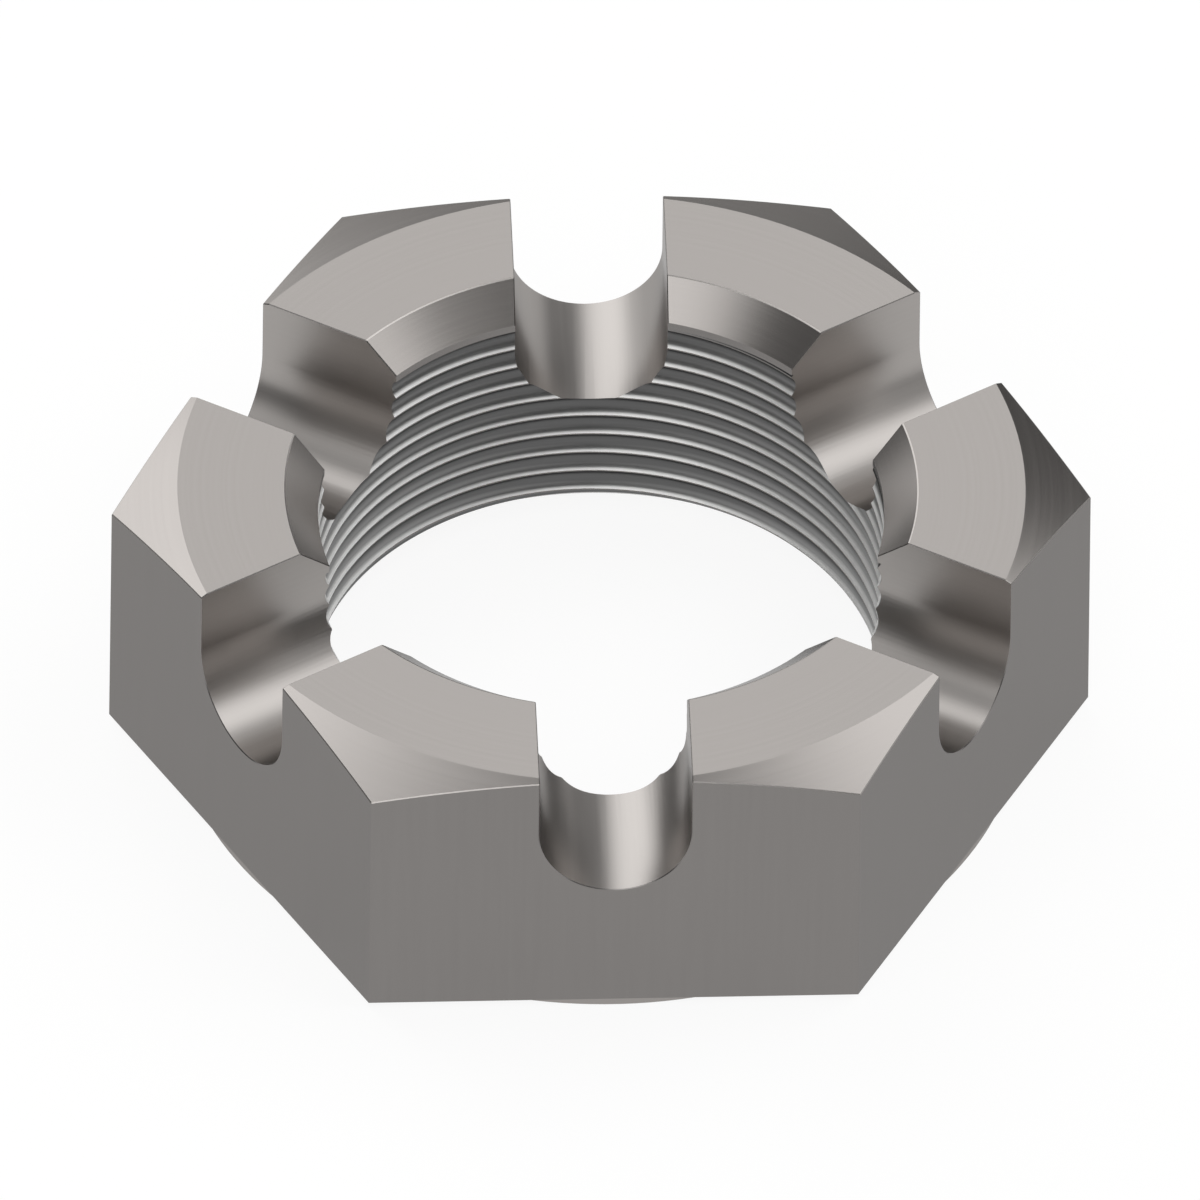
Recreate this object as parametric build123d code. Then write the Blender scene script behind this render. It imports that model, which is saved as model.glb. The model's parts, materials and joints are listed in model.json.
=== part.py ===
from build123d import *
import math
import os

# A castle nut for a fine-threaded stud: a thin hexagon nut with a slot across each flat
# for a split pin. Sizes are in millimetres. The bearing face lies on Z = 0, the bore runs
# up +Z to the slotted end, and two of the hexagon's corners lie on the X axis.

# Hexagon bar
flat_count = 6
across_flats = 50.0
nut_height = 18.2

# Washer face on the bearing side
washer_face_height = 0.5
washer_face_setback = 0.05

# Chamfer turned on the corners of the slotted end
chamfer_angle = 20.0
chamfer_setback = 0.0

# Thread, bored to its minor diameter and left smooth
thread_major_dia = 35.0
thread_pitch = 1.5

# Countersink at each mouth of the bore
countersink_angle = 90.0
countersink_relief = 1.15

# Slots for the split pin, with full-radius bottoms
slot_width = 9.0
slot_depth = 8.8

# Room that a cutter has past the faces that it cuts
cutter_overrun = 2.0

# Radii that follow from the sizes above
flat_radius = across_flats / 2
corner_radius = flat_radius / math.cos(math.pi / flat_count)
washer_face_radius = flat_radius - washer_face_setback
top_face_radius = flat_radius - chamfer_setback
thread_triangle_height = thread_pitch * math.sqrt(3) / 2
minor_radius = thread_major_dia / 2 - thread_triangle_height * 5 / 8
mouth_radius = thread_major_dia / 2 + countersink_relief


def hexagon_bar():
    """The bar that the nut is cut from, longer than the nut at both ends."""
    outline = RegularPolygon(corner_radius, flat_count)
    length = nut_height + 2 * cutter_overrun
    return extrude(Plane.XY.offset(-cutter_overrun) * outline, length)


def turned_envelope():
    """What the lathe leaves: the washer face below and the chamfer cone above."""
    stock_radius = corner_radius + cutter_overrun
    chamfer_drop = (stock_radius - top_face_radius) * math.tan(math.radians(chamfer_angle))
    profile = Polyline(
        (0, 0),
        (washer_face_radius, 0),
        (washer_face_radius, washer_face_height),
        (stock_radius, washer_face_height),
        (stock_radius, nut_height - chamfer_drop),
        (top_face_radius, nut_height),
        (0, nut_height),
        close=True,
    )
    return revolve(Plane.XZ * make_face(profile), Axis.Z)


def bore_cutter():
    """The bore at the thread's minor diameter, with a countersink at each mouth."""
    slope = math.tan(math.radians(countersink_angle / 2))
    sink_depth = (mouth_radius - minor_radius) / slope
    outer_radius = mouth_radius + cutter_overrun * slope
    profile = Polyline(
        (0, -cutter_overrun),
        (outer_radius, -cutter_overrun),
        (minor_radius, sink_depth),
        (minor_radius, nut_height - sink_depth),
        (outer_radius, nut_height + cutter_overrun),
        (0, nut_height + cutter_overrun),
        close=True,
    )
    return revolve(Plane.XZ * make_face(profile), Axis.Z)


def slot_cutter():
    """The form milled out through one flat, from the bore outwards along +X."""
    bottom = nut_height - slot_depth
    bottom_centre = bottom + slot_width / 2
    rise = nut_height + cutter_overrun - bottom_centre
    straight_part = Pos(0, bottom_centre + rise / 2) * Rectangle(slot_width, rise)
    round_part = Pos(0, bottom_centre) * Circle(slot_width / 2)
    return extrude(Plane.YZ * (straight_part + round_part), corner_radius + cutter_overrun)


def castle_nut():
    """The turned and bored blank with a slot milled through the middle of each flat."""
    nut = hexagon_bar() & turned_envelope()
    nut = nut - bore_cutter()
    flat_step = 360 / flat_count
    for flat in range(flat_count):
        nut = nut - Rot(0, 0, flat_step * (flat + 0.5)) * slot_cutter()
    return nut


os.makedirs("parts", exist_ok=True)

solid = castle_nut()
solid.label = "castle_nut"
export_step(solid, "parts/castle_nut.step")
print("castle_nut", "volume", round(solid.volume, 1), "mm3, minor radius", round(minor_radius, 3))
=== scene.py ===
# %% [markdown]
# # A castle nut, machined step by step
#
# A castle nut is one piece of steel. The maker saws a slice from hexagon bar, turns both
# ends, bores and countersinks the hole, mills a slot through the middle of each flat, and
# taps the thread last. This lesson makes the mesh in the same order, because each cut on
# the real nut leaves its own edges and its own finish, and cutting in that order leaves
# them in the same places. All sizes are in metres. The nut stands on its bearing face at
# Z = 0, and its bore runs up the Z axis.

import json
import math

import bmesh
import bpy
from mathutils import Matrix, Vector


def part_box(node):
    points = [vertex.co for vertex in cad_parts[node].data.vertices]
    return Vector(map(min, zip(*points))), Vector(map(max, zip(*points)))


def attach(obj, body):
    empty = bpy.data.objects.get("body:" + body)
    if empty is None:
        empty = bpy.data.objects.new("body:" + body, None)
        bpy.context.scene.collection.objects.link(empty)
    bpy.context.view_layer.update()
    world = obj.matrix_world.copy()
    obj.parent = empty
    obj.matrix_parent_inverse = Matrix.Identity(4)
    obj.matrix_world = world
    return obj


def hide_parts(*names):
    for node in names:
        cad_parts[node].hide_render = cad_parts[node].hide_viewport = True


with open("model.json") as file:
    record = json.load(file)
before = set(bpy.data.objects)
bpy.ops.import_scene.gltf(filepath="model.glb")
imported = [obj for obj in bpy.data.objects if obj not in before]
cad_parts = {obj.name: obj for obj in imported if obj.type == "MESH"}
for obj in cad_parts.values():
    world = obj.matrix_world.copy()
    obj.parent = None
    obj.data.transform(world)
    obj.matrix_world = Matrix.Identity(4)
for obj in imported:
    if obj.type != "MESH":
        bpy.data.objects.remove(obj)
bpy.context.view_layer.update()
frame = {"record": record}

# %% [markdown]
# ## Sizes
#
# The frame already holds the nut at its real size, so the sizes that it states are read
# from it: the width across flats and the height from its box, the bore and the slots from
# its mounts. Only what the frame doesn't state is written here, once each.

# %% Sizes from the frame
mm = 0.001
low, high = (Vector(corner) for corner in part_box("castle_nut"))
mounts = {mount["name"]: mount for mount in frame["record"]["mounts"]}

flat_count = 6
flat_step = math.tau / flat_count
flat_radius = (high.y - low.y) / 2
corner_radius = flat_radius / math.cos(math.pi / flat_count)
nut_height = high.z - low.z
minor_radius = mounts["thread"]["dims"]["r_mm"] * mm
slot_radius = mounts["pin_slots_across"]["dims"]["r_mm"] * mm
slot_centre_height = mounts["pin_slots_across"]["pos_m"][2]
print("across flats", round(2 * flat_radius / mm, 2), "mm, height", round(nut_height / mm, 2), "mm")
print("minor radius", round(minor_radius / mm, 3), "mm, slot radius", round(slot_radius / mm, 2), "mm")

# %% Sizes that the frame doesn't state
washer_face_height = 0.5 * mm
washer_face_setback = 0.05 * mm
chamfer_angle = math.radians(20)
mouth_radius = 18.65 * mm
sink_depth = mouth_radius - minor_radius
thread_pitch = 1.5 * mm
edge_break = 0.05 * mm
overrun = 2 * mm
turn_steps = 180
weld = 0.001 * mm
print("countersinks", round(sink_depth / mm, 2), "mm deep,",
      round((nut_height - 2 * sink_depth) / thread_pitch, 1), "turns of thread between them")

# %% [markdown]
# ## Small helpers
#
# Every shape below starts as a bmesh and ends as an object at the origin. A Boolean keeps
# the material of each face, so a cutter gives its own finish to the wall that it leaves, as
# the real tool does. That works only when the bar and all the cutters hold the same list of
# materials in the same order, so the five finishes are named first and are filled in later.

# %% The five finishes, named
DRAWN, TURNED, DRILLED, MILLED, TAPPED = range(5)
finish_names = ("drawn_steel", "turned_steel", "drilled_steel", "milled_steel", "tapped_steel")
finishes = [bpy.data.materials.new(name) for name in finish_names]
print("finishes", [material.name for material in finishes])


# %% Helpers for shapes
def object_from(bm, name, materials, used=0):
    """An object at the origin that holds the bmesh, with every face in the material that is used."""
    for face in bm.faces:
        face.material_index = used
    bmesh.ops.recalc_face_normals(bm, faces=bm.faces)
    mesh = bpy.data.meshes.new(name)
    bm.to_mesh(mesh)
    bm.free()
    for material in materials:
        mesh.materials.append(material)
    piece = bpy.data.objects.new(name, mesh)
    bpy.context.scene.collection.objects.link(piece)
    return piece


def machine(piece, cutter, operation):
    """Runs one Boolean on the piece, keeps the result and drops the cutter."""
    step = piece.modifiers.new(operation.lower(), "BOOLEAN")
    step.operation = operation
    step.solver = "MANIFOLD"
    step.object = cutter
    graph = bpy.context.evaluated_depsgraph_get()
    result = bpy.data.meshes.new_from_object(piece.evaluated_get(graph))
    old = piece.data
    piece.modifiers.clear()
    piece.data = result
    bpy.data.meshes.remove(old)
    bpy.data.meshes.remove(cutter.data)
    print(operation.lower(), "leaves", len(result.polygons), "faces")


def turned_solid(points):
    """A bmesh of what an outline of radii and heights sweeps when it is spun about the Z axis."""
    bm = bmesh.new()
    verts = [bm.verts.new((radius, 0, height)) for radius, height in points]
    edges = [bm.edges.new(pair) for pair in zip(verts, verts[1:])]
    bmesh.ops.rotate(bm, verts=verts, matrix=Matrix.Rotation(math.pi / turn_steps, 3, "Z"))
    bmesh.ops.spin(bm, geom=verts + edges, axis=(0, 0, 1), angle=math.tau, steps=turn_steps, use_merge=True)
    bmesh.ops.remove_doubles(bm, verts=bm.verts, dist=weld)
    return bm


# %% [markdown]
# ## The hexagon bar
#
# The nut starts as hexagon bar, so it starts here as a circle with six sides, pulled up
# into a prism. It is longer than the nut at both ends: the lathe, not the saw, sets the
# height. The first corner lies on the X axis.

# %% Hexagon bar
bm = bmesh.new()
bmesh.ops.create_circle(bm, cap_ends=True, segments=flat_count, radius=corner_radius)
bmesh.ops.rotate(bm, verts=bm.verts, matrix=Matrix.Rotation(math.pi / 2, 3, "Z"))
bmesh.ops.translate(bm, verts=bm.verts, vec=(0, 0, -overrun))
pulled = bmesh.ops.extrude_face_region(bm, geom=bm.faces[:])
risen = [item for item in pulled["geom"] if isinstance(item, bmesh.types.BMVert)]
bmesh.ops.translate(bm, verts=risen, vec=(0, 0, nut_height + 2 * overrun))
nut = object_from(bm, "castle_nut_steel", finishes, DRAWN)
print("bar reaches", round(max(v.co.x for v in nut.data.vertices) / mm, 2), "mm along X")

# %% [markdown]
# ## What the lathe leaves
#
# Turning makes everything that is round about the bore's axis: the washer face below, the
# flat top, and the shallow cone that takes the corners off it. One outline spun about the
# axis holds them all, and the part of the bar inside it is what stays. The helper turns the
# steps of the spin by half a step, so that no edge of the cone falls on a corner of the bar.

# %% Turned outline
stock_radius = corner_radius + overrun
chamfer_drop = (stock_radius - flat_radius) * math.tan(chamfer_angle)
bm = turned_solid((
    (0, 0),
    (flat_radius - washer_face_setback, 0),
    (flat_radius - washer_face_setback, washer_face_height),
    (stock_radius, washer_face_height),
    (stock_radius, nut_height - chamfer_drop),
    (flat_radius, nut_height),
    (0, nut_height),
))
machine(nut, object_from(bm, "turned_envelope", finishes, TURNED), "INTERSECT")

# %% [markdown]
# ## Bore and countersinks
#
# The bore is drilled to the thread's smallest radius, so that the tap cuts outwards from it
# and leaves a narrow land of the bore on every crest. A countersink at each mouth lets the
# stud start straight. Each cutter is longer than its cut, so that no face of it lies on a
# face of the nut.

# %% Bore
bm = turned_solid((
    (0, -overrun),
    (minor_radius, -overrun),
    (minor_radius, nut_height + overrun),
    (0, nut_height + overrun),
))
machine(nut, object_from(bm, "drill", finishes, DRILLED), "DIFFERENCE")

# %% Countersinks
wide = mouth_radius + overrun
narrow = minor_radius - overrun
depth = sink_depth + overrun
lower = ((0, -overrun), (wide, -overrun), (narrow, depth), (0, depth))
upper = [(radius, nut_height - height) for radius, height in reversed(lower)]
for outline in (lower, upper):
    machine(nut, object_from(turned_solid(outline), "countersink", finishes, TURNED), "DIFFERENCE")

# %% [markdown]
# ## Slots for the split pin
#
# A slot runs out through the middle of each flat, and its bottom is a half circle as wide
# as the slot. The cutter is a circle whose upper half is pulled up past the top face: the
# round lower half is the slot's bottom. All six are in one mesh and don't touch, so one cut
# makes them all.

# %% Slot cutters
slot_sides = 96
reach_into_bore = 4 * mm
slot_start = minor_radius - reach_into_bore
slot_length = corner_radius + overrun - slot_start
top_rise = nut_height + overrun - slot_centre_height

bm = bmesh.new()
for flat in range(flat_count):
    verts = bmesh.ops.create_circle(bm, segments=slot_sides, radius=slot_radius)["verts"]
    bmesh.ops.delete(bm, geom=[vert for vert in verts if vert.co.y > weld], context="VERTS")
    verts = [vert for vert in verts if vert.is_valid]
    ends = sorted((vert for vert in verts if vert.co.y > -weld), key=lambda vert: vert.co.x)
    corners = [bm.verts.new((end.co.x, top_rise, 0)) for end in ends]
    for pair in ((ends[0], corners[0]), corners, (corners[1], ends[1])):
        bm.edges.new(pair)
    loop = verts + corners
    edges = {edge for vert in loop for edge in vert.link_edges}
    face = bmesh.ops.contextual_create(bm, geom=list(edges))["faces"]
    pulled = bmesh.ops.extrude_face_region(bm, geom=face)
    far = [item for item in pulled["geom"] if isinstance(item, bmesh.types.BMVert)]
    bmesh.ops.translate(bm, verts=far, vec=(0, 0, slot_length))
    stand = Matrix.Rotation(math.pi / 2, 4, "Z") @ Matrix.Rotation(math.pi / 2, 4, "X")
    place = Matrix.Translation((slot_start, 0, slot_centre_height)) @ stand
    turn = Matrix.Rotation(flat_step * (flat + 0.5), 4, "Z")
    bmesh.ops.transform(bm, verts=loop + far, matrix=turn @ place)
machine(nut, object_from(bm, "slot_cutters", finishes, MILLED), "DIFFERENCE")

# %% [markdown]
# ## Broken edges
#
# No cut edge on a real nut is left perfectly sharp: the stroke of a file takes the burr off
# it and leaves a tiny slanting flat. It is under a tenth of a millimetre wide, but it
# catches the light as a thin bright or dark line, and those lines are what make the edges
# read as steel. A bevel of one segment on the outward edges does it.
#
# Only edges of cuts that turn by more than 25 degrees are broken. The bar's own corners
# keep the shape that the die gave them, and the edge between the top and the chamfer turns
# by 20 degrees, too blunt to hold a burr. The edges in the bore are left out, because the
# tap cuts them next, and so is the ledge over the washer face, which is hardly wider than
# the bevel.
#
# A break beside a lathe-cut face takes the lighter milled grey, a painted highlight that
# shows as a thin bright line along that edge. The breaks on the rims of the slots take the
# bar's darker grey.

# %% Edge breaks
sharp_angle = math.radians(25)
crumb = 10 * weld

bm = bmesh.new()
bm.from_mesh(nut.data)
bmesh.ops.remove_doubles(bm, verts=bm.verts, dist=crumb)
bmesh.ops.dissolve_degenerate(bm, dist=crumb, edges=bm.edges)
broken = []
for edge in bm.edges:
    outside_bore = max(vert.co.to_2d().length for vert in edge.verts) > minor_radius + edge_break
    above_ledge = max(vert.co.z for vert in edge.verts) > washer_face_height + edge_break
    cut = any(face.material_index != DRAWN for face in edge.link_faces)
    if outside_bore and above_ledge and cut and edge.calc_face_angle_signed() > sharp_angle:
        broken.append(edge)
bevelled = bmesh.ops.bevel(bm, geom=broken, offset=edge_break, offset_type="OFFSET", affect="EDGES",
                           segments=1, profile=0.5, material=-1, clamp_overlap=False)
# Lighter milled grey beside lathe-cut faces: a painted highlight line along the edge.
breaks = set(bevelled["faces"])
for face in breaks:
    neighbours = {other for edge in face.edges for other in edge.link_faces} - breaks
    beside = {other.material_index for other in neighbours}
    face.material_index = MILLED if TURNED in beside and MILLED not in beside else DRAWN
bm.to_mesh(nut.data)
bm.free()
print("edge breaks on", len(broken), "edges")

# %% [markdown]
# ## The thread
#
# A tap is a screw that cuts, so the cutter here is a screw too. Its outline is one round
# groove: a single point spun a short way about the groove's centre. That arc is then spun
# once about the bore with a rise of one pitch, and the turn is copied up the bore. Spinning
# all the turns at once gives the same mesh, and takes thirty times as long.
#
# A standard thread of this pitch is 0.81 mm deep with straight flanks. The grooves of the
# nut that this one follows look shallow and round, with narrow crests, so they are drawn
# that way. The tap stops a little below the upper countersink, where the bore is left plain
# as a narrow lip.

# %% Sizes of the thread
groove_depth = 0.26 * mm
groove_steps = 12
crest_land = 0.10 * mm
lip_height = 0.52 * mm
crest_height_at_back = 8.20 * mm
tap_bottom = -1 * mm
tap_top = nut_height - sink_depth - lip_height
turn_weld = 3 * weld
cut_tolerance = 0.1 * weld

half_pitch = thread_pitch / 2
undercut = groove_depth * crest_land / half_pitch
sagitta = groove_depth + undercut
groove_radius = (half_pitch ** 2 + sagitta ** 2) / (2 * sagitta)
groove_angle = 2 * math.asin(half_pitch / groove_radius)
print("grooves of", round(groove_radius / mm, 2), "mm radius and", round(groove_depth / mm, 2), "mm depth")

# %% One turn of the tap
bm = bmesh.new()
point = bm.verts.new((minor_radius - undercut, 0, 0))
groove_centre = (minor_radius + groove_depth - groove_radius, 0, half_pitch)
bmesh.ops.spin(bm, geom=[point], cent=groove_centre, axis=(0, -1, 0), angle=groove_angle,
               steps=groove_steps)
bmesh.ops.rotate(bm, verts=bm.verts, matrix=Matrix.Rotation(math.pi / turn_steps, 3, "Z"))
bmesh.ops.spin(bm, geom=bm.verts[:] + bm.edges[:], axis=(0, 0, 1), angle=math.tau,
               steps=turn_steps, dvec=(0, 0, thread_pitch / turn_steps))
print("one turn has", len(bm.faces), "faces")

# %% All turns of the tap
back_rise = thread_pitch * (math.pi / 2 - math.pi / turn_steps) / math.tau
first_turn = math.floor((tap_bottom - crest_height_at_back) / thread_pitch) - 2
last_turn = math.ceil((tap_top - crest_height_at_back) / thread_pitch) + 1

one_turn = bm.verts[:] + bm.edges[:] + bm.faces[:]
for turn in range(1, last_turn - first_turn + 1):
    copied = bmesh.ops.duplicate(bm, geom=one_turn)
    raised = [item for item in copied["geom"] if isinstance(item, bmesh.types.BMVert)]
    bmesh.ops.translate(bm, verts=raised, vec=(0, 0, thread_pitch * turn))
bmesh.ops.remove_doubles(bm, verts=bm.verts, dist=turn_weld)
lift = crest_height_at_back - back_rise + thread_pitch * first_turn
bmesh.ops.translate(bm, verts=bm.verts, vec=(0, 0, lift))

# %% [markdown]
# A Boolean needs a closed cutter. The screw is cut off square at both ends, and each open
# rim is pulled in to a point on the axis, which closes it with a fan of triangles.

# %% Ends of the tap
for height, outwards in ((tap_bottom, -1), (tap_top, 1)):
    bmesh.ops.bisect_plane(bm, geom=bm.verts[:] + bm.edges[:] + bm.faces[:], dist=cut_tolerance,
                           plane_co=(0, 0, height), plane_no=(0, 0, outwards), clear_outer=True)
    open_edges = [edge for edge in bm.edges if len(edge.link_faces) == 1
                  and all(abs(vert.co.z - height) < weld for vert in edge.verts)]
    pulled = bmesh.ops.extrude_edge_only(bm, edges=open_edges)
    rim = [item for item in pulled["geom"] if isinstance(item, bmesh.types.BMVert)]
    bmesh.ops.pointmerge(bm, verts=rim, merge_co=(0, 0, height))
still_open = sum(len(edge.link_faces) != 2 for edge in bm.edges)
print("tap has", len(bm.faces), "faces and", still_open, "open edges")
machine(nut, object_from(bm, "tap", finishes, TAPPED), "DIFFERENCE")

# %% [markdown]
# ## Shading
#
# Round walls are made of narrow flat faces, and smooth shading hides that. It must stop at
# the real edges, so an edge that turns by more than twelve degrees is marked sharp. The
# steps of the spin turn by two degrees and those of a groove by about seven, so they stay
# smooth.
#
# Smooth shading alone would also bend the light on the flat top, because the tiny faces of
# the broken edge beside it pull its border round. Weighted normals give the large face the
# say: the top stays dead flat, and the whole bend falls on the narrow faces.

# %% Smooth walls, sharp edges
smooth_up_to = math.radians(12)
large_face_weight = 80

nut.data.shade_smooth()
nut.data.set_sharp_from_angle(angle=smooth_up_to)
flatten_large_faces = nut.modifiers.new("flatten_large_faces", "WEIGHTED_NORMAL")
flatten_large_faces.mode = "FACE_AREA"
flatten_large_faces.weight = large_face_weight
flatten_large_faces.keep_sharp = True
used = [polygon.material_index for polygon in nut.data.polygons]
print("faces of each finish", [used.count(index) for index in range(len(finishes))])

# %% [markdown]
# ## Colours and nodes
#
# Colours are written as the sRGB values that a picture shows, and one function turns them
# into the linear ones that a shader needs. Another adds a node with its settings: a socket
# is given either a number, which is set, or another node's output, which is linked. The
# last three add the nodes that come up again and again: one step of arithmetic, one range
# mapped to another, and the distance of a point from the bore's axis.


# %% Helpers for materials
def linear(hex_colour):
    """The linear colour of an sRGB hex value, with full alpha."""
    parts = [int(hex_colour[i:i + 2], 16) / 255 for i in (1, 3, 5)]
    return [c / 12.92 if c <= 0.04045 else ((c + 0.055) / 1.055) ** 2.4 for c in parts] + [1.0]


def add(tree, kind, sockets=None, **settings):
    """Adds one node, sets its properties, and sets or links its sockets."""
    node = tree.nodes.new(kind)
    for name, value in settings.items():
        setattr(node, name, value)
    for socket, value in (sockets or {}).items():
        if isinstance(value, bpy.types.NodeSocket):
            tree.links.new(value, node.inputs[socket])
        else:
            node.inputs[socket].default_value = value
    return node


def calculate(tree, operation, *values, use_clamp=False):
    """The output of one Math node."""
    node = add(tree, "ShaderNodeMath", dict(enumerate(values)), operation=operation, use_clamp=use_clamp)
    return node.outputs["Value"]


def mapped(tree, value, to_min, to_max, from_min=0.0, from_max=1.0, **settings):
    """A value mapped from one range to another, and held at the ends."""
    node = add(tree, "ShaderNodeMapRange", {"Value": value, "From Min": from_min, "From Max": from_max,
                                            "To Min": to_min, "To Max": to_max}, **settings)
    return node.outputs["Result"]


def axis_distance(tree, place):
    """How far a place is from the bore's axis."""
    flatten = add(tree, "ShaderNodeVectorMath", {0: place, 1: (1, 1, 0)}, operation="MULTIPLY")
    radius = add(tree, "ShaderNodeVectorMath", {0: flatten.outputs["Vector"]}, operation="LENGTH")
    return radius.outputs["Value"]


# %% [markdown]
# ## What all five finishes share
#
# The nut is medium carbon steel, oiled and not plated: a mid grey with a little warmth, and
# a satin face that shows its surroundings softly. The bar's drawn skin is darker than
# freshly cut steel, and its grey is set darker still as painted shade, because the flats
# mirror the white paper. The milled slots are given a lighter grey than the turned faces,
# partly as painted light against the shade in the slots. What else differs from cut to cut
# is the marks of the tool. Each finish below makes those marks as a pattern from 0 to 1, and
# this shared part uses the pattern three times: for a slight change of colour, for a slight
# change of roughness, and for the relief of the marks, which are about half a micrometre
# deep. The shader's plain metal turns into a mirror where it is seen edge on. Steel does so
# less, and a grey tint for the edge-on view holds it back, so that all the flats look alike.

# %% Shared steel
edge_on_tint = linear("#D2D2D2")
mark_relief = 0.0004 * mm
roughness_change = 0.03


def finish(material, marks, roughness, dark, light):
    """Finishes a steel from the pattern of its tool marks."""
    tree = material.node_tree
    shader = tree.nodes["Principled BSDF"]
    shader.inputs["Metallic"].default_value = 1.0
    shader.inputs["Specular Tint"].default_value = edge_on_tint
    tint = add(tree, "ShaderNodeMix", {"Factor": marks, "A": dark, "B": light}, data_type="RGBA")
    change = mapped(tree, marks, -roughness_change, roughness_change)
    gloss = calculate(tree, "ADD", change, roughness)
    relief = add(tree, "ShaderNodeBump", {"Height": marks, "Distance": mark_relief})
    tree.links.new(tint.outputs["Result"], shader.inputs["Base Color"])
    tree.links.new(gloss, shader.inputs["Roughness"])
    tree.links.new(relief.outputs["Normal"], shader.inputs["Normal"])
    print(material.name, "has", len(tree.nodes), "nodes")


for material in finishes:
    material.use_nodes = True


# %% [markdown]
# ## Drawn flats
#
# The flats are the skin of cold-drawn bar. The die that the bar is pulled through leaves
# faint straight streaks along it, and the bar's length is the nut's height, so the streaks
# stand upright on the flats. Real ones are about 0.05 mm wide, too fine to show, and are
# drawn six times as wide. A noise squeezed across the streak and stretched along it makes
# them.

# %% Drawn steel
streak_width = 0.3 * mm
streak_length = 9 * mm

tree = finishes[DRAWN].node_tree
where = add(tree, "ShaderNodeTexCoord")
streak_scale = (1 / streak_width, 1 / streak_width, 1 / streak_length)
stretch = add(tree, "ShaderNodeMapping", {"Vector": where.outputs["Object"], "Scale": streak_scale})
streaks = add(tree, "ShaderNodeTexNoise", {"Vector": stretch.outputs["Vector"], "Scale": 1.0,
                                           "Detail": 3.0})
# The flats' dark grey is partly the bar's skin and partly painted shade.
finish(finishes[DRAWN], streaks.outputs["Fac"], roughness=0.25,
       dark=linear("#7F7C7A"), light=linear("#84817F"))

# %% [markdown]
# ## Turned faces
#
# The top, the chamfer, the countersinks and the washer face were cut on a lathe, so their
# marks are rings about the bore. The tool moves out by about 0.1 mm a turn, which is drawn
# as 0.25 mm. The pattern needs only one number, the distance from the axis plus the height,
# because that changes across a flat face and along a cone alike. A one-dimensional noise of
# it makes rings of uneven depth, as a worn tool does.
#
# The drilled bore has the same rings and is left darker. It shows only as the lip below the
# upper countersink and as the narrow lands on the crests.

# %% Turned and drilled steel
feed = 0.25 * mm
lathe_colours = {TURNED: ("#96928F", "#9C9895"), DRILLED: ("#7A7775", "#7F7C7A")}

for which, (dark, light) in lathe_colours.items():
    tree = finishes[which].node_tree
    where = add(tree, "ShaderNodeTexCoord")
    split = add(tree, "ShaderNodeSeparateXYZ", {"Vector": where.outputs["Object"]})
    travel = calculate(tree, "ADD", axis_distance(tree, where.outputs["Object"]), split.outputs["Z"])
    rings = add(tree, "ShaderNodeTexNoise", {"W": travel, "Scale": 1 / feed, "Detail": 2.0},
                noise_dimensions="1D")
    finish(finishes[which], rings.outputs["Fac"], roughness=0.24, dark=linear(dark), light=linear(light))

# %% [markdown]
# ## Milled slots
#
# The slots were milled from the side, by a cutter that travelled along them, and its marks
# run the same way. The pattern has to follow six slots in six directions. The angle about
# the axis, wrapped to one sixth of a turn, is the same in each slot, and it gives how far a
# point lies across its slot and along it. The noise is fine across and up, and long along.
# The marks are drawn 0.25 mm apart, coarser than real ones, so that they show.

# %% Milled steel
mill_mark_width = 0.25 * mm
mill_mark_length = 6 * mm

tree = finishes[MILLED].node_tree
where = add(tree, "ShaderNodeTexCoord")
split = add(tree, "ShaderNodeSeparateXYZ", {"Vector": where.outputs["Object"]})
radius = axis_distance(tree, where.outputs["Object"])
angle = calculate(tree, "ARCTAN2", split.outputs["Y"], split.outputs["X"])
wrapped = calculate(tree, "WRAP", angle, 0.0, flat_step)
centred = calculate(tree, "SUBTRACT", wrapped, flat_step / 2)
across = calculate(tree, "MULTIPLY", calculate(tree, "SINE", centred), radius)
in_slot = add(tree, "ShaderNodeCombineXYZ", {"X": across, "Y": split.outputs["Z"], "Z": radius})
mill_scale = (1 / mill_mark_width, 1 / mill_mark_width, 1 / mill_mark_length)
stretch = add(tree, "ShaderNodeMapping", {"Vector": in_slot.outputs["Vector"], "Scale": mill_scale})
passes = add(tree, "ShaderNodeTexNoise", {"Vector": stretch.outputs["Vector"], "Scale": 1.0,
                                          "Detail": 2.0})
# The slots' lighter grey is partly fresh-cut steel and partly painted light against the shade in the slots.
finish(finishes[MILLED], passes.outputs["Fac"], roughness=0.32,
       dark=linear("#A19D9A"), light=linear("#A7A3A0"))

# %% [markdown]
# ## The tapped thread
#
# This thread isn't one even grey. The flank that faces the slotted end is the one that the
# stud pulls on, and it faces upwards. It is painted near white and made matt, a painted
# highlight that stays bright from every side, while the root and the other flank, which faces
# down, are painted dark grey as painted shade. The material has to know where in a groove it
# is, so it works out the same screw as the tap: the height in pitches, less the turn about
# the axis. Its fraction is 0 on a crest and 0.5 in the root above it. The marks of the tap
# run round the bore. They are drawn 0.1 mm apart, about four times as coarse as real ones,
# because finer ones wouldn't show.
#
# The pale band starts on the crest and fades up the flank. It is about twice as wide at the
# left and right of the bore as at the front and back. That width is matched to the
# nut that this one follows, and nothing in the metal calls for it. So the fraction is
# divided by a reach that follows the angle about the axis. The part of a turn that ends
# just below the lip has no band.

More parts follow.
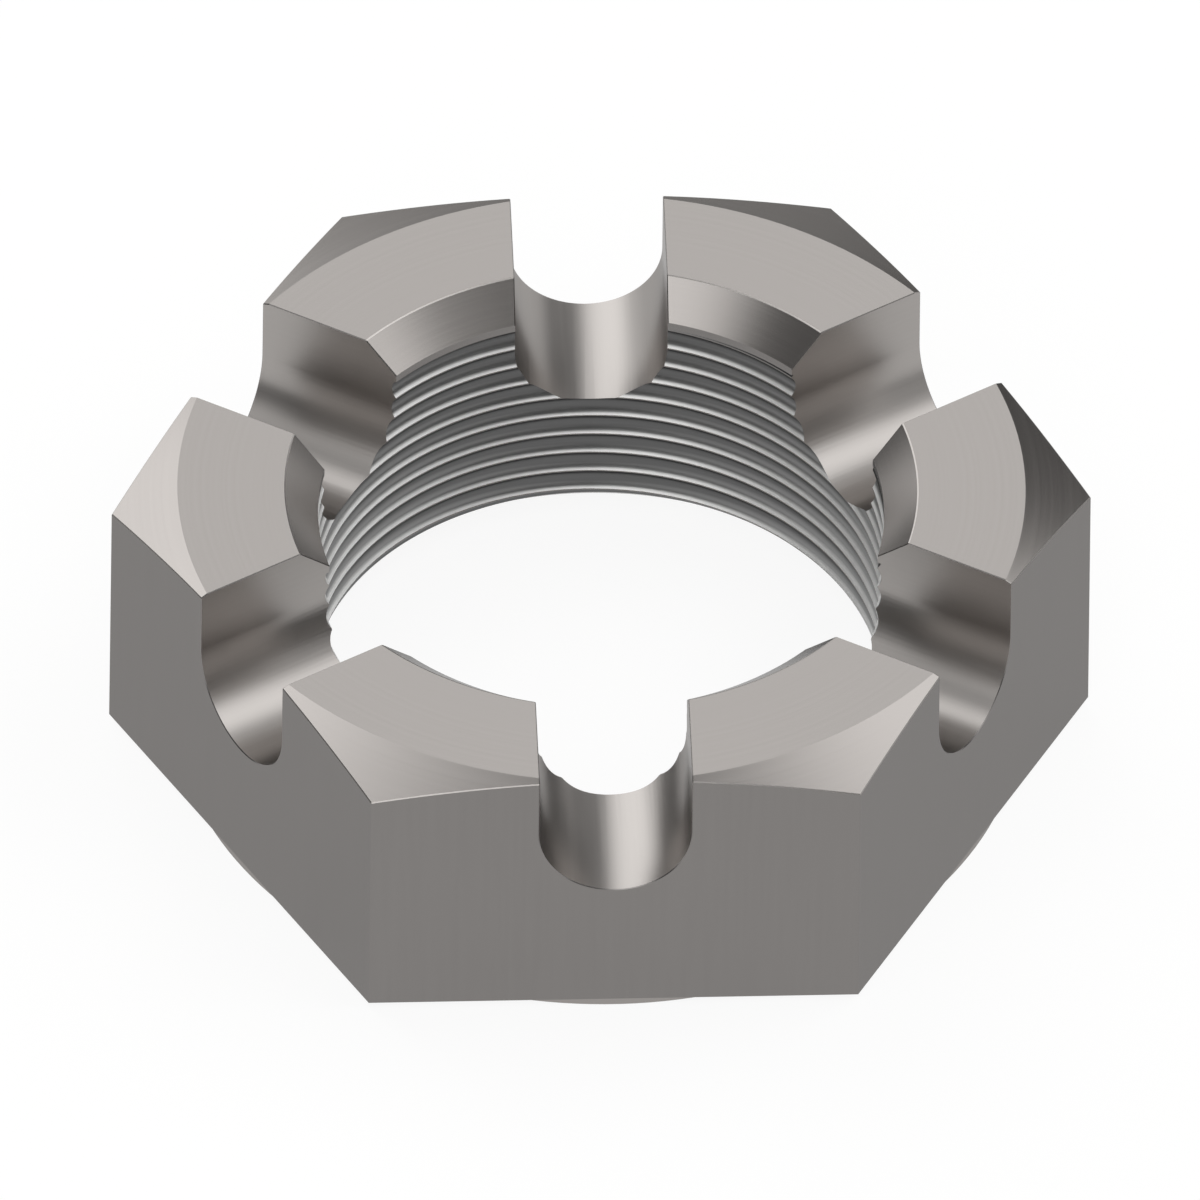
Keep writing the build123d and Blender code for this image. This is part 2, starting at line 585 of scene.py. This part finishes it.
# %% Tapped steel
# Dark grey painted shade for the root and lower flank, near-white painted highlight for the upper flank.
painted_shade_dark = linear("#5B5B5B")
painted_shade_pale = linear("#656565")
painted_highlight_dark = linear("#F2F2F1")
painted_highlight_pale = linear("#FAFAF9")
band_reach = 0.32
band_reach_at_sides = 0.65
band_stops = ((0.20, 1.0), (0.42, 0.2), (1.0, 0.0))
highlight_free_reach = 0.6 * mm
highlight_free_fade = 0.2 * mm
flank_roughness = 0.6
dark_part_roughness = 0.3
tap_mark_width = 0.1 * mm
tap_mark_length = 8 * mm
turns_from_x_to_back = 0.25

tree = finishes[TAPPED].node_tree
where = add(tree, "ShaderNodeTexCoord")
split = add(tree, "ShaderNodeSeparateXYZ", {"Vector": where.outputs["Object"]})
angle = calculate(tree, "ARCTAN2", split.outputs["Y"], split.outputs["X"])
turns = calculate(tree, "MULTIPLY", angle, 1 / math.tau)
pitches_up = calculate(tree, "MULTIPLY", split.outputs["Z"], 1 / thread_pitch)
screw = calculate(tree, "SUBTRACT", pitches_up, turns)
crest_phase = crest_height_at_back / thread_pitch - turns_from_x_to_back
phase = calculate(tree, "FRACT", calculate(tree, "SUBTRACT", screw, crest_phase))
# The painted highlight widens towards the left and right of the bore, where the side walls catch more
# light.
sideways = calculate(tree, "ABSOLUTE", calculate(tree, "COSINE", angle))
reach = mapped(tree, sideways, band_reach, band_reach_at_sides)
up_flank = calculate(tree, "DIVIDE", phase, reach)
pale = add(tree, "ShaderNodeValToRGB", {"Fac": up_flank})
pale.color_ramp.elements.new(0.5)
for stop, (position, level) in zip(pale.color_ramp.elements, band_stops):
    stop.position = position
    stop.color = (level, level, level, 1)
tap_scale = (1 / tap_mark_length, 1 / tap_mark_length, 1 / tap_mark_width)
stretch = add(tree, "ShaderNodeMapping", {"Vector": where.outputs["Object"], "Scale": tap_scale})
scratches = add(tree, "ShaderNodeTexNoise", {"Vector": stretch.outputs["Vector"], "Scale": 1.0,
                                             "Detail": 2.0})
# No painted highlight just below the lip, which paints the shade under it.
fade_start = tap_top - highlight_free_reach
below_lip = mapped(tree, split.outputs["Z"], 1.0, 0.0, from_min=fade_start,
                   from_max=fade_start + highlight_free_fade)
band = calculate(tree, "MULTIPLY", pale.outputs["Color"], below_lip)
dark = add(tree, "ShaderNodeMix", {"Factor": band, "A": painted_shade_dark, "B": painted_highlight_dark}, data_type="RGBA")
light = add(tree, "ShaderNodeMix", {"Factor": band, "A": painted_shade_pale, "B": painted_highlight_pale}, data_type="RGBA")
band_roughness = mapped(tree, band, dark_part_roughness, flank_roughness)
finish(finishes[TAPPED], scratches.outputs["Fac"], roughness=band_roughness,
       dark=dark.outputs["Result"], light=light.outputs["Result"])

# %% [markdown]
# ## Into the frame
#
# The finished mesh rides on the nut's only body and stands in for the CAD solid, which has
# the same outside and a smooth bore.

# %% Into the frame
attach(nut, "root")
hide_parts("castle_nut")

# %% [markdown]
# ## A pale floor
#
# The nut stands on a wide sheet of white paper. Paper that is lit evenly looks white to the
# eye, but a render shows only what the lights give it, so the camera and the metal's
# reflections are shown paper that is mostly white by itself, and the rest of it keeps the
# soft shadow of the nut. The light that the paper passes on to other things isn't changed.

# %% Floor
floor_half_width = 3.0
paper_glow = 0.9

paper = bpy.data.materials.new("white_paper")
paper.use_nodes = True
tree = paper.node_tree
tree.nodes.clear()
path = add(tree, "ShaderNodeLightPath")
seen = calculate(tree, "ADD", path.outputs["Is Camera Ray"], path.outputs["Is Glossy Ray"])
seen = calculate(tree, "ADD", seen, path.outputs["Is Transmission Ray"], use_clamp=True)
share = calculate(tree, "MULTIPLY", seen, paper_glow)
matt = add(tree, "ShaderNodeBsdfDiffuse", {"Color": linear("#FAFAF9")})
glow = add(tree, "ShaderNodeEmission", {"Color": linear("#FFFFFF"), "Strength": 1.0})
both = add(tree, "ShaderNodeMixShader", {0: share, 1: matt.outputs["BSDF"], 2: glow.outputs["Emission"]})
add(tree, "ShaderNodeOutputMaterial", {"Surface": both.outputs["Shader"]})

bm = bmesh.new()
bmesh.ops.create_grid(bm, x_segments=1, y_segments=1, size=floor_half_width)
floor = object_from(bm, "floor", [paper])
print("floor is", 2 * floor_half_width, "m wide")

# %% [markdown]
# ## Light
#
# Bare metal has no colour of its own to show: it looks like what it reflects. So the light
# here is a room, not a lamp. The world is a dim dome that is brighter overhead, and soft
# boxes are bright round patches on it with faded rims. The dark gaps between them matter as
# much, because they give the chamfer and the slots their contrast. Each box is placed by the
# direction in which a face of the nut mirrors the camera's line of sight.

# %% Dome
horizon_level = 0.16
zenith_level = 0.45
dome_brightens_above = 0.5

world = bpy.data.worlds.new("studio")
bpy.context.scene.world = world
world.use_nodes = True
sky = world.node_tree
sky.nodes.clear()
where = add(sky, "ShaderNodeTexCoord")
split = add(sky, "ShaderNodeSeparateXYZ", {"Vector": where.outputs["Generated"]})
total = mapped(sky, split.outputs["Z"], horizon_level, zenith_level, from_min=dome_brightens_above,
               interpolation_type="SMOOTHSTEP")

# %% [markdown]
# Each soft box has a bearing and an elevation, the angle from its middle to its faded rim,
# all in degrees, and a level. Bearings run clockwise from straight behind the nut.

# %% Soft boxes
soft_boxes = {
    "rear left": (-30, 48, 37, 1.9),
    "right": (78, 48, 34, 2.2),
    "front left": (-158, 45, 34, 1.6),
    "low rear left": (-30, 5, 32, 1.2),
    "low rear": (8, 5, 15, 0.3),
    "low rear right": (45, 5, 17, 0.8),
    "low right": (106, 12, 26, 1.0),
    "reflector right": (122, 42, 22, 0.3),
    "low front": (-172, 27, 16, 1.5),
}
for name, (bearing, elevation, rim, level) in soft_boxes.items():
    a = math.radians(bearing)
    e = math.radians(elevation)
    toward = (math.sin(a) * math.cos(e), math.cos(a) * math.cos(e), math.sin(e))
    facing = add(sky, "ShaderNodeVectorMath", {0: where.outputs["Generated"], 1: toward},
                 operation="DOT_PRODUCT")
    box = mapped(sky, facing.outputs["Value"], 0.0, level, from_min=math.cos(math.radians(rim)),
                 interpolation_type="SMOOTHSTEP")
    total = calculate(sky, "ADD", total, box)
    print("soft box", name, "at", bearing, "and", elevation, "degrees")

# %% [markdown]
# What lies below the horizon is white, so that a low camera that looks past the paper, or
# under it, sees white too.

# %% White below the horizon
below = calculate(sky, "LESS_THAN", split.outputs["Z"], 0.0)
total = calculate(sky, "MAXIMUM", total, below)
background = add(sky, "ShaderNodeBackground", {"Color": total, "Strength": 1.0})
add(sky, "ShaderNodeOutputWorld", {"Surface": background.outputs["Background"]})

# %% [markdown]
# ## Camera
#
# The view is from in front and above, with no perspective: opposite edges of the nut stay
# parallel, as they do through a very long lens. The camera's axes are built one by one from
# its bearing, its height angle and a slight roll, and the frame's width is a real length.

# %% Camera
camera_azimuth = math.radians(-2.508)
camera_elevation = math.radians(43.738)
camera_roll = math.radians(0.731)
camera_distance = 0.4
frame_width = 70.72 * mm

side = Vector((math.cos(camera_azimuth), math.sin(camera_azimuth), 0))
ahead = Vector((-math.sin(camera_azimuth), math.cos(camera_azimuth), 0))
rise = ahead * math.sin(camera_elevation) + Vector((0, 0, math.cos(camera_elevation)))
behind = -ahead * math.cos(camera_elevation) + Vector((0, 0, math.sin(camera_elevation)))
right = math.cos(camera_roll) * side + math.sin(camera_roll) * rise
above = -math.sin(camera_roll) * side + math.cos(camera_roll) * rise

lens = bpy.data.cameras.new("camera")
lens.type = "ORTHO"
lens.ortho_scale = frame_width
lens.clip_start = 0.01
lens.clip_end = 10
camera = bpy.data.objects.new("camera", lens)
bpy.context.scene.collection.objects.link(camera)
aim = Vector((0, 0, nut_height / 2))
turned = Matrix((right, above, behind)).transposed().to_4x4()
camera.matrix_world = Matrix.Translation(aim + behind * camera_distance) @ turned
bpy.context.scene.camera = camera
bpy.context.scene.view_settings.view_transform = "Standard"
print("camera stands at", [round(value, 3) for value in camera.matrix_world.translation])
